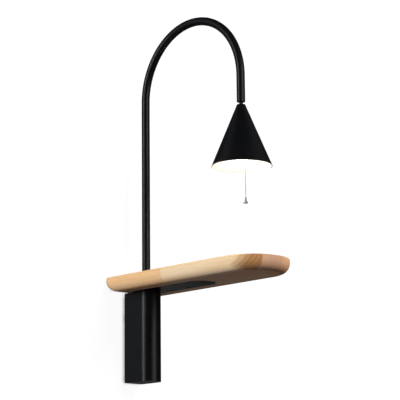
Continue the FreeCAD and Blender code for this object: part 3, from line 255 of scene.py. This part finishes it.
def makePaleWood(look):
    # edge-glued staves along Y, each a slice of its own log
    paint = Paint("paleWood")
    place = paint.place()
    x, y, z = paint.split(place)
    row = ((x - look["firstStave"]) / look["staveWidth"]).maths("FLOOR")
    out = y / -look["length"]
    tone = endTone = None
    for index, staves in enumerate(look["staves"]):
        stave = paint.node("ShaderNodeValToRGB", {"constant": True, "stops": staves}, [out])
        here = row.maths("GREATER_THAN", index - 0.5)
        tone = paint.mix(tone or stave, stave, here)
        endTone = paint.mix(endTone or look["ends"][index], look["ends"][index], here)

    # growth rings round the heart of the log that each stave was cut from
    seed = paint.join(row, paint.split(tone)[0] * 40, 0.0)   # the tone tells a row's staves apart
    chance = paint.node("ShaderNodeTexWhiteNoise", {"noise_dimensions": "3D"}, [seed])
    warp = paint.noise(paint.shifted(paint.stretched(place, look["warpScale"]), seed), 1.0, 2)
    flip = row.maths("MODULO", 2.0) * -2.0 + 1.0
    heartAcross, heartUp = look["pith"]
    across = x - (row + 0.5) * look["staveWidth"] - look["firstStave"] - flip * heartAcross
    deep = z - look["middle"] - heartUp + y * look["taper"] + chance * look["logSpread"]
    distance = (across * across + deep * deep).maths("SQRT") + (warp - 0.5) * look["warp"]
    ring = (distance / look["ringWidth"]).maths("FRACT")
    lateWood = paint.remap(ring, look["ringRise"], 1.0) * paint.remap(ring, 1.0, look["ringDrop"])

    # end grain, where the surface faces along the board
    side, along = paint.split(paint.node("ShaderNodeTexCoord", output="Normal"))[:2]
    facing = along.maths("ABSOLUTE") / (side * side + along * along + 0.02).maths("SQRT")
    lean = (z - look["middle"]) * look["endLean"]
    onEnd = paint.remap(facing - lean, look["endFrom"], look["endTo"])
    endRings = row.maths("LESS_THAN", 0.5) * look["firstRowRings"] + look["endRings"]

    # fine grain, drawn out along the board
    bands = paint.noise(paint.stretched(place, look["driftScale"]), 1.0, 2)
    drift = paint.remap(bands, *look["driftRange"])
    fibres = paint.noise(paint.stretched(place, look["fibreScale"]), 1.0, 3, 0.6)
    streaks = paint.noise(paint.stretched(place, look["streakScale"]), 1.0, 2, 0.6)
    dots = paint.noise(paint.stretched(place, look["poreScale"]), 1.0, 1)
    pores = paint.remap(dots, *look["poreRange"])
    dashes = paint.noise(paint.stretched(place, look["fleckScale"]), 1.0, 2)
    flecks = paint.remap(dashes, *look["fleckRange"])
    rings = lateWood * (onEnd * endRings + look["sideRings"])
    grain = (fibres - 0.4) * look["fibreDepth"] + flecks * look["fleckDepth"]
    veins = rings + grain + (streaks - 0.5) * look["streakDepth"] + pores * look["poreDepth"]
    sideTone = paint.mix(tone, look["warmer"], drift, "MULTIPLY")
    height = fibres * 0.4 - pores * 0.5
    return paint.finish({
        "Base Color": paint.mix(paint.mix(sideTone, endTone, onEnd), look["late"], veins),
        "Roughness": look["roughness"] - 0.08 * lateWood + 0.1 * pores,
        "Specular IOR Level": look["gloss"],
        "Normal": paint.bump(height, look["reliefStrength"], look["relief"]),
    })


whiteEnamel = {
    "colour": (0.86, 0.85, 0.82, 1),
    "darker": (0.80, 0.79, 0.75, 1),
    "roughness": 0.45,
    "grain": 1500,
    "patches": 40,
    "relief": 0.0001,
    "reliefStrength": 0.1,
}


def makeWhiteEnamel(look):
    paint = Paint("whiteEnamel")
    place = paint.place()
    grain = paint.noise(place, look["grain"], 2)
    patches = paint.noise(place, look["patches"], 2)
    return paint.finish({
        "Base Color": paint.mix(look["colour"], look["darker"], patches * 0.4),
        "Roughness": look["roughness"] + 0.1 * grain,
        "Normal": paint.bump(grain, look["reliefStrength"], look["relief"]),
    })


litGlass = {
    "glow": (1.0, 0.93, 0.83, 1),
    "warmGlow": (1.0, 0.78, 0.55, 1),
    "warmFrom": 0.75,                 # share of the glass's height, from its free end
    "strength": 18.0,
    "colour": (0.93, 0.92, 0.88, 1),
    "darker": (0.88, 0.86, 0.80, 1),
    "clouds": 220,
    "roughness": 0.3,
}


def makeLitGlass(look):
    # opal glass, lit from inside and warmer next to the lamp's base
    paint = Paint("litGlass")
    place = paint.place()
    height = paint.split(place)[2]
    low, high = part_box("lamp_glass")
    up = paint.remap(height, low[2], high[2])
    cloud = paint.noise(place, look["clouds"], 2)
    warmth = paint.remap(up, look["warmFrom"], 1.0) * 0.6 + cloud * 0.1
    return paint.finish({
        "Base Color": paint.mix(look["colour"], look["darker"], cloud),
        "Roughness": look["roughness"] + 0.2 * cloud,
        "Emission Color": paint.mix(look["glow"], look["warmGlow"], warmth),
        "Emission Strength": look["strength"],
    })


metalGrain = {"scratches": 900, "clouds": 60, "relief": 0.00005, "reliefStrength": 0.12, "brush": 0.08}


def makeMetal(name, colour, darker, roughness, direction=(1, 1, 1), metallic=1.0):
    # direction stretches the fine scratches: a small number runs along that axis
    paint = Paint(name)
    place = paint.place()
    scale = tuple(metalGrain["scratches"] * share for share in direction)
    scratches = paint.noise(paint.stretched(place, scale), 1.0, 3, 0.6)
    clouds = paint.noise(place, metalGrain["clouds"], 3)
    return paint.finish({
        "Base Color": paint.mix(colour, darker, clouds * 0.5 + scratches * 0.25),
        "Metallic": metallic,
        "Roughness": roughness + metalGrain["brush"] * scratches + 0.06 * clouds,
        "Normal": paint.bump(scratches, metalGrain["reliefStrength"], metalGrain["relief"]),
    })


mouldedGrain = {"clouds": 35, "relief": 0.0001, "reliefStrength": 0.15}


def makeMoulded(name, colour, shade, roughness, grainScale=900):
    # moulded plastic, rubber or fired clay
    paint = Paint(name)
    place = paint.place()
    grain = paint.noise(place, grainScale, 2)
    clouds = paint.noise(place, mouldedGrain["clouds"], 2)
    return paint.finish({
        "Base Color": paint.mix(colour, shade, clouds * 0.6 + grain * 0.2),
        "Roughness": roughness + 0.12 * grain,
        "Normal": paint.bump(grain, mouldedGrain["reliefStrength"], mouldedGrain["relief"]),
    })


finishes = {
    "painted_black": makeBlackPaint(blackPaint),
    "pale_wood": makePaleWood(paleWood),
    "zinc_steel": makeMetal("zincSteel", (0.50, 0.51, 0.53, 1), (0.36, 0.37, 0.39, 1), 0.34),
    "black_screws": makeMetal("blackedSteel", (0.045, 0.045, 0.05, 1), (0.02, 0.02, 0.022, 1), 0.4),
    "brass_parts": makeMetal("turnedBrass", (0.76, 0.56, 0.28, 1), (0.55, 0.38, 0.17, 1), 0.26, (1, 1, 6)),
    "nickel": makeMetal("nickelPlate", (0.72, 0.71, 0.69, 1), (0.55, 0.54, 0.52, 1), 0.2),
    "black_rubber": makeMoulded("blackRubber", (0.02, 0.02, 0.021, 1), (0.035, 0.035, 0.036, 1), 0.65),
    "white_plastic": makeMoulded("whitePlastic", (0.78, 0.77, 0.73, 1), (0.70, 0.69, 0.64, 1), 0.4),
    "cable_sheath": makeMoulded("cableSheath", (0.025, 0.025, 0.027, 1), (0.04, 0.04, 0.042, 1), 0.5),
    "wire_insulation": makeMoulded("wireSleeve", (0.70, 0.69, 0.64, 1), (0.6, 0.59, 0.54, 1), 0.5),
    "ceramic": makeMoulded("glazedCeramic", (0.84, 0.82, 0.77, 1), (0.78, 0.75, 0.69, 1), 0.22, 400),
    "light_source": makeMoulded("phosphorStrip", (0.85, 0.72, 0.25, 1), (0.75, 0.6, 0.2, 1), 0.6),
    "opal_glass": makeLitGlass(litGlass),
}
satinChain = makeMetal("satinChain", (0.64, 0.64, 0.64, 1), (0.51, 0.51, 0.51, 1), 0.42, metallic=0.45)
satinBell = makeMetal("satinBell", (0.42, 0.42, 0.415, 1), (0.32, 0.32, 0.315, 1), 0.40, metallic=0.6)
enamel = makeWhiteEnamel(whiteEnamel)
print("finishes ready for", len(finishes), "slots")


def finishNodes():
    slots = {part["node"]: part["material_slot"] for part in frame["record"]["subparts"]}
    for name, node in frame["nodes"].items():
        finish = finishes[slots[name]]
        if not node.material_slots:
            node.data.materials.append(finish)
        for slot in node.material_slots:
            slot.material = finish


finishNodes()


# turned pieces
def softCorners(mesh, angle=32):
    for edge in mesh.edges:
        sharp = len(edge.link_faces) == 2 and edge.calc_face_angle(0) > math.radians(angle)
        edge.smooth = not sharp
    for face in mesh.faces:
        face.smooth = True


def newPiece(name, mesh, materials):
    data = bpy.data.meshes.new(name)
    mesh.to_mesh(data)
    mesh.free()
    for material in materials:
        data.materials.append(material)
    piece = bpy.data.objects.new(name, data)
    bpy.context.collection.objects.link(piece)
    return piece


def lathe(mesh, profile, centre, steps=96, closed=False, finishAt=None):
    # profile is (radius, height) from one end to the other; a radius of 0 is a pole
    rings = []
    for radius, height in profile:
        if radius == 0:
            rings.append([mesh.verts.new((centre[0], centre[1], height))])
            continue
        ring = []
        for step in range(steps):
            angle = 2 * math.pi * step / steps
            x = centre[0] + radius * math.cos(angle)
            y = centre[1] + radius * math.sin(angle)
            ring.append(mesh.verts.new((x, y, height)))
        rings.append(ring)
    if closed:
        rings.append(rings[0])
    for index, (first, second) in enumerate(zip(rings, rings[1:])):
        for step in range(steps):
            after = (step + 1) % steps
            corners = [first[step % len(first)], first[after % len(first)],
                       second[after % len(second)], second[step % len(second)]]
            face = mesh.faces.new(list(dict.fromkeys(corners)))
            face.material_index = finishAt(index) if finishAt else 0
    bmesh.ops.recalc_face_normals(mesh, faces=mesh.faces)


def arc(centre, radius, start, end, steps):
    # points on a circle in the profile plane, angles in degrees from straight outwards
    points = []
    for step in range(steps + 1):
        angle = math.radians(start + (end - start) * step / steps)
        points.append((centre[0] + radius * math.cos(angle), centre[1] + radius * math.sin(angle)))
    return points


def middle(node):
    low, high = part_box(node)
    return (low[0] + high[0]) / 2, (low[1] + high[1]) / 2


# the shade: spun cone, black outside and white inside
shadeShell = {
    "crownRadius": 5.8 * mm,
    "opening": 4.9 * mm,
    "sheet": 1.0 * mm,
    "shoulder": 0.85 * mm,      # round between crown and cone
    "shoulderSteps": 6,
    "edge": 0.35 * mm,          # round of the rim
    "edgeOut": 0.6,             # how far its lowest points stand in, as shares of it
    "edgeIn": 0.3,
    "steps": 192,
}


def makeShade(look):
    low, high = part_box("shade")
    rim = (high[0] - low[0]) / 2
    height = high[2] - low[2]
    slope = (rim - look["crownRadius"]) / height
    across = look["sheet"] * math.sqrt(1 + slope * slope)
    lean = math.degrees(math.atan(slope))
    inset = look["shoulder"] * math.tan(math.radians(90 - lean) / 2)
    shoulder = (look["crownRadius"] - inset, high[2] - look["shoulder"])
    outside = arc(shoulder, look["shoulder"], 90, lean, look["shoulderSteps"])
    edge = look["edge"]
    outside += [(rim - slope * edge, low[2] + edge), (rim - edge * look["edgeOut"], low[2])]
    innerRim = rim - across
    inside = [(innerRim + edge * look["edgeIn"], low[2]), (innerRim - slope * edge, low[2] + edge)]
    innerTop = look["crownRadius"] - across + slope * look["sheet"]
    inside += [(innerTop, high[2] - look["sheet"]), (look["opening"], high[2] - look["sheet"])]
    profile = [(look["opening"], high[2])] + outside + inside
    mesh = bmesh.new()
    white = range(len(outside) + 1, len(profile) - 1)
    lathe(mesh, profile, middle("shade"), look["steps"], True, lambda index: 1 if index in white else 0)
    softCorners(mesh)
    piece = newPiece("shadeShell", mesh, [finishes["painted_black"], enamel])
    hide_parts("shade")
    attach(piece, "shade_assembly")


makeShade(shadeShell)


# the lamp's glass: a tube with a round free end
lampGlass = {"steps": 64, "arcSteps": 14, "lip": 0.4 * mm}


def makeLampGlass(look):
    low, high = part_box("lamp_glass")
    radius = (high[0] - low[0]) / 2
    profile = [(0, high[2]), (radius - look["lip"], high[2]), (radius, high[2] - look["lip"])]
    profile += arc((0, low[2] + radius), radius, 0, -90, look["arcSteps"])[:-1]
    profile.append((0, low[2]))
    mesh = bmesh.new()
    lathe(mesh, profile, middle("lamp_glass"), look["steps"])
    softCorners(mesh)
    piece = newPiece("litLamp", mesh, [finishes["opal_glass"]])
    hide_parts("lamp_glass")
    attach(piece, "shade_assembly")


makeLampGlass(lampGlass)


# the pull chain: small beads on a wire, hanging straight under the bell's weight
pullChain = {
    "bead": 1.1 * mm,      # radius
    "wire": 0.4 * mm,
    "pitch": 3.1 * mm,
    "length": 60.3 * mm,
    "beadSteps": 8,
    "steps": 16,
    "routeRuns": 3,
    "routeSteps": 24,
}


def chainRoute(look):
    # the route as a smooth spline, read back as points from its upper end to the bell
    low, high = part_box("pull_chain")
    x, y = middle("pull_chain")
    curve = bpy.data.curves.new("chainRoute", "CURVE")
    curve.dimensions = "3D"
    spline = curve.splines.new("NURBS")
    spline.points.add(look["routeRuns"])
    for index, point in enumerate(spline.points):
        height = high[2] + (low[2] - high[2]) * index / look["routeRuns"]
        point.co = (x, y, height, 1)
    spline.order_u = 3
    spline.use_endpoint_u = True
    spline.resolution_u = look["routeSteps"]
    holder = bpy.data.objects.new("chainRoute", curve)
    line = bpy.data.meshes.new_from_object(holder)
    points = [vertex.co.copy() for vertex in line.vertices]
    bpy.data.objects.remove(holder)
    return points


def makePullChain(look):
    points = chainRoute(look)
    top, bottom = points[0], points[-1]
    count = round((top - bottom).length / look["pitch"])
    step = (top.z - bottom.z) / count
    reach = math.degrees(math.acos(look["wire"] / look["bead"]))
    profile = [(0, top.z), (look["wire"], top.z)]
    for bead in range(count):
        centre = top.z - step * (bead + 0.5)
        profile += arc((0, centre), look["bead"], reach, -reach, look["beadSteps"])
    profile += [(look["wire"], bottom.z), (0, bottom.z)]
    mesh = bmesh.new()
    lathe(mesh, profile, (top.x, top.y), look["steps"])
    softCorners(mesh, 50)
    piece = newPiece("beadChain", mesh, [satinChain])
    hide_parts("pull_chain")
    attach(piece, "chain")
    return piece, points


chain, chainPoints = makePullChain(pullChain)


# the bell at the chain's end, a flared cap with a rolled lip
chainBell = {"neck": 1.3 * mm, "waist": 1.75 * mm, "lip": 0.35 * mm, "steps": 40}


def makeBell(look):
    low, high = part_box("chain_bell")
    mouth = (high[0] - low[0]) / 2
    height = high[2] - low[2]
    neck, waist, lip = look["neck"], look["waist"], look["lip"]
    # radius, and how far down as a share of the bell's height
    outside = [(0, 0), (neck * 0.7, 0), (neck, 0.04), (neck, 0.2), (neck * 1.05, 0.38), (waist, 0.6),
               (mouth * 0.72, 0.75), (mouth - lip * 0.5, 0.88), (mouth, 0.95), (mouth - lip * 0.3, 1)]
    inside = [(mouth - lip * 1.6, 1), (mouth * 0.6, 0.86), (0, 0.74)]
    profile = [(radius, high[2] - height * down) for radius, down in outside + inside]
    mesh = bmesh.new()
    lathe(mesh, profile, middle("chain_bell"), look["steps"])
    softCorners(mesh, 40)
    piece = newPiece("pullBell", mesh, [satinBell])
    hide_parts("chain_bell")
    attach(piece, "chain")
    return piece


bell = makeBell(chainBell)
print("pieces made")


# stage and light
studio = {
    "backdrop": 2.2,               # half width, metres
    "floor": -1.15,                # far below the shelf
    "wallGap": 0.4 * mm,           # the wall stands just behind the bracket
    "colour": (0.10, 0.10, 0.10, 1),
    "darker": (0.0985, 0.0985, 0.099, 1),
    "clouds": 1.5,
    "roughness": 0.9,
    "wallGlow": 0.94,
    "floorGlow": 0.90,
    "open": (1, 1, 1, 1),
    # the backdrop's glow is darkened towards this colour where it is occluded: a painted contact shadow
    "shadow": (0.05, 0.05, 0.06, 1),
    "shadowReach": 5.5 * mm,       # reach of the painted soft shadow next to the base
    "shadowTop": 67 * mm,          # from here up the painted shadow fades out by height, gone at clearFrom
    "clearFrom": 71 * mm,
    "airColour": (0.94, 0.97, 1.0, 1),
    "ambient": 0.03,
    "aim": (0, -0.12, 0.2),        # what the lights point at
}


def makeBackdropPaint(name, look, glow):
    # seen from the front only, so that it hides nothing from behind or below
    paint = Paint(name)
    place = paint.place()
    behind = paint.node("ShaderNodeNewGeometry", output="Backfacing")
    cloud = paint.noise(place, look["clouds"], 2)
    reach = {"Distance": look["shadowReach"]}
    # ambient occlusion darkens the backdrop's glow near the base and board, a painted shadow that a height
    # mask clears above shadowTop
    openness = paint.node("ShaderNodeAmbientOcclusion", {"samples": 8}, reach, "AO")
    height = paint.split(place)[2]
    lit = (openness + paint.remap(height, look["shadowTop"], look["clearFrom"])).maths("MINIMUM", 1.0)
    solid = paint.node("ShaderNodeBsdfPrincipled", None, {
        "Base Color": paint.mix(look["colour"], look["darker"], cloud),
        "Roughness": look["roughness"],
        "Emission Color": paint.mix(look["shadow"], look["open"], lit),
        "Emission Strength": glow,
    })
    clear = paint.node("ShaderNodeBsdfTransparent")
    mixed = paint.node("ShaderNodeMixShader", None, [behind, solid, clear])
    paint.node("ShaderNodeOutputMaterial", None, [mixed])
    return paint.made


def makePlane(name, corners, material):
    # lights nothing by itself, so that the lamp keeps its dark underside
    mesh = bmesh.new()
    mesh.faces.new([mesh.verts.new(corner) for corner in corners])
    plane = newPiece(name, mesh, [material])
    plane.visible_diffuse = False
    plane.visible_glossy = False
    plane.visible_shadow = False


def makeStage(look):
    half = look["backdrop"]
    low = look["floor"]
    wall = look["wallGap"]
    wallCorners = [(-half, wall, low), (half, wall, low), (half, wall, half), (-half, wall, half)]
    makePlane("studioWall", wallCorners, makeBackdropPaint("studioWall", look, look["wallGlow"]))
    floorCorners = [(-half, -2 * half, low), (half, -2 * half, low), (half, half, low), (-half, half, low)]
    makePlane("studioFloor", floorCorners, makeBackdropPaint("studioFloor", look, look["floorGlow"]))


def makeWorld(look):
    # pale behind everything, dim for what it lights
    air = Paint("studioAir", bpy.data.worlds)
    dim = air.node("ShaderNodeBackground", None, [look["airColour"], look["ambient"]])
    pale = air.node("ShaderNodeBackground", None, [look["open"], 1.0])
    seen = air.node("ShaderNodeLightPath", output="Is Camera Ray")
    mixed = air.node("ShaderNodeMixShader", None, [seen, dim, pale])
    air.node("ShaderNodeOutputWorld", None, [mixed])
    bpy.context.scene.world = air.made


# azimuth is degrees from straight left (-X) towards straight out of the wall (-Y), distance and size
# are metres, power is watts; gloss False hides a light from reflections, diffuse False leaves only those
lights = {
    "key": {"azimuth": -4, "elevation": 2, "distance": 2.2, "size": (1.1, 0.6), "power": 54,
            "gloss": False},
    "fill": {"azimuth": 98, "elevation": 20, "distance": 2.2, "size": (1.1, 0.6), "power": 54,
             "gloss": False},
    "top": {"azimuth": 60, "elevation": 84, "distance": 1.7, "size": (1.4, 1.0), "power": 12,
            "gloss": False},
    "floorBounce": {"azimuth": 97, "elevation": -74, "distance": 0.62, "size": (0.5, 0.5), "power": 0.34,
                    "gloss": False, "colour": (1.0, 0.82, 0.95)},
    "leftStrip": {"azimuth": -18, "elevation": 13, "distance": 1.7, "size": (0.28, 1.2), "power": 7.8,
                  "diffuse": False},
    "frontStrip": {"azimuth": 97, "elevation": 13, "distance": 1.7, "size": (1.1, 1.1), "power": 6.4,
                   "diffuse": False},
    "sideGlow": {"azimuth": -54, "elevation": 4, "distance": 1.7, "size": (0.8, 1.6), "power": 0.52,
                 "diffuse": False, "colour": (0.82, 0.9, 1.25)},
    "rightSoft": {"azimuth": 172, "elevation": 14, "distance": 2.2, "size": (1.1, 0.9), "power": 26,
                  "gloss": False},
    "upperLeft": {"azimuth": -54, "elevation": 48, "distance": 1.7, "size": (0.9, 0.9), "power": 0.22,
                  "diffuse": False, "colour": (0.82, 0.92, 1.2)},
    "upperRight": {"azimuth": 151, "elevation": 48, "distance": 1.7, "size": (0.9, 0.9), "power": 0.26,
                   "diffuse": False, "colour": (0.9, 0.95, 1.1)},
    "backStrip": {"azimuth": 236, "elevation": -8, "distance": 1.7, "size": (0.6, 1.2), "power": 0.2,
                  "diffuse": False},
}


def makeLights(plan, target):
    aim = Vector(target)
    for name, look in plan.items():
        azimuth = math.radians(look["azimuth"])
        elevation = math.radians(look["elevation"])
        flat = math.cos(elevation)
        away = Vector((-math.cos(azimuth) * flat, -math.sin(azimuth) * flat, math.sin(elevation)))
        data = bpy.data.lights.new(name + "Light", "AREA")
        data.shape = "RECTANGLE"
        data.size, data.size_y = look["size"]
        data.energy = look["power"]
        data.color = look.get("colour", (1, 1, 1))
        light = bpy.data.objects.new(name + "Light", data)
        bpy.context.collection.objects.link(light)
        light.location = aim + away * look["distance"]
        light.rotation_euler = away.to_track_quat("Z", "Y").to_euler()
        light.visible_camera = False
        light.visible_glossy = look.get("gloss", True)
        light.visible_diffuse = look.get("diffuse", True)


makeStage(studio)
makeWorld(studio)
makeLights(lights, studio["aim"])
bpy.context.scene.view_settings.view_transform = "Standard"
print("stage and lights ready")
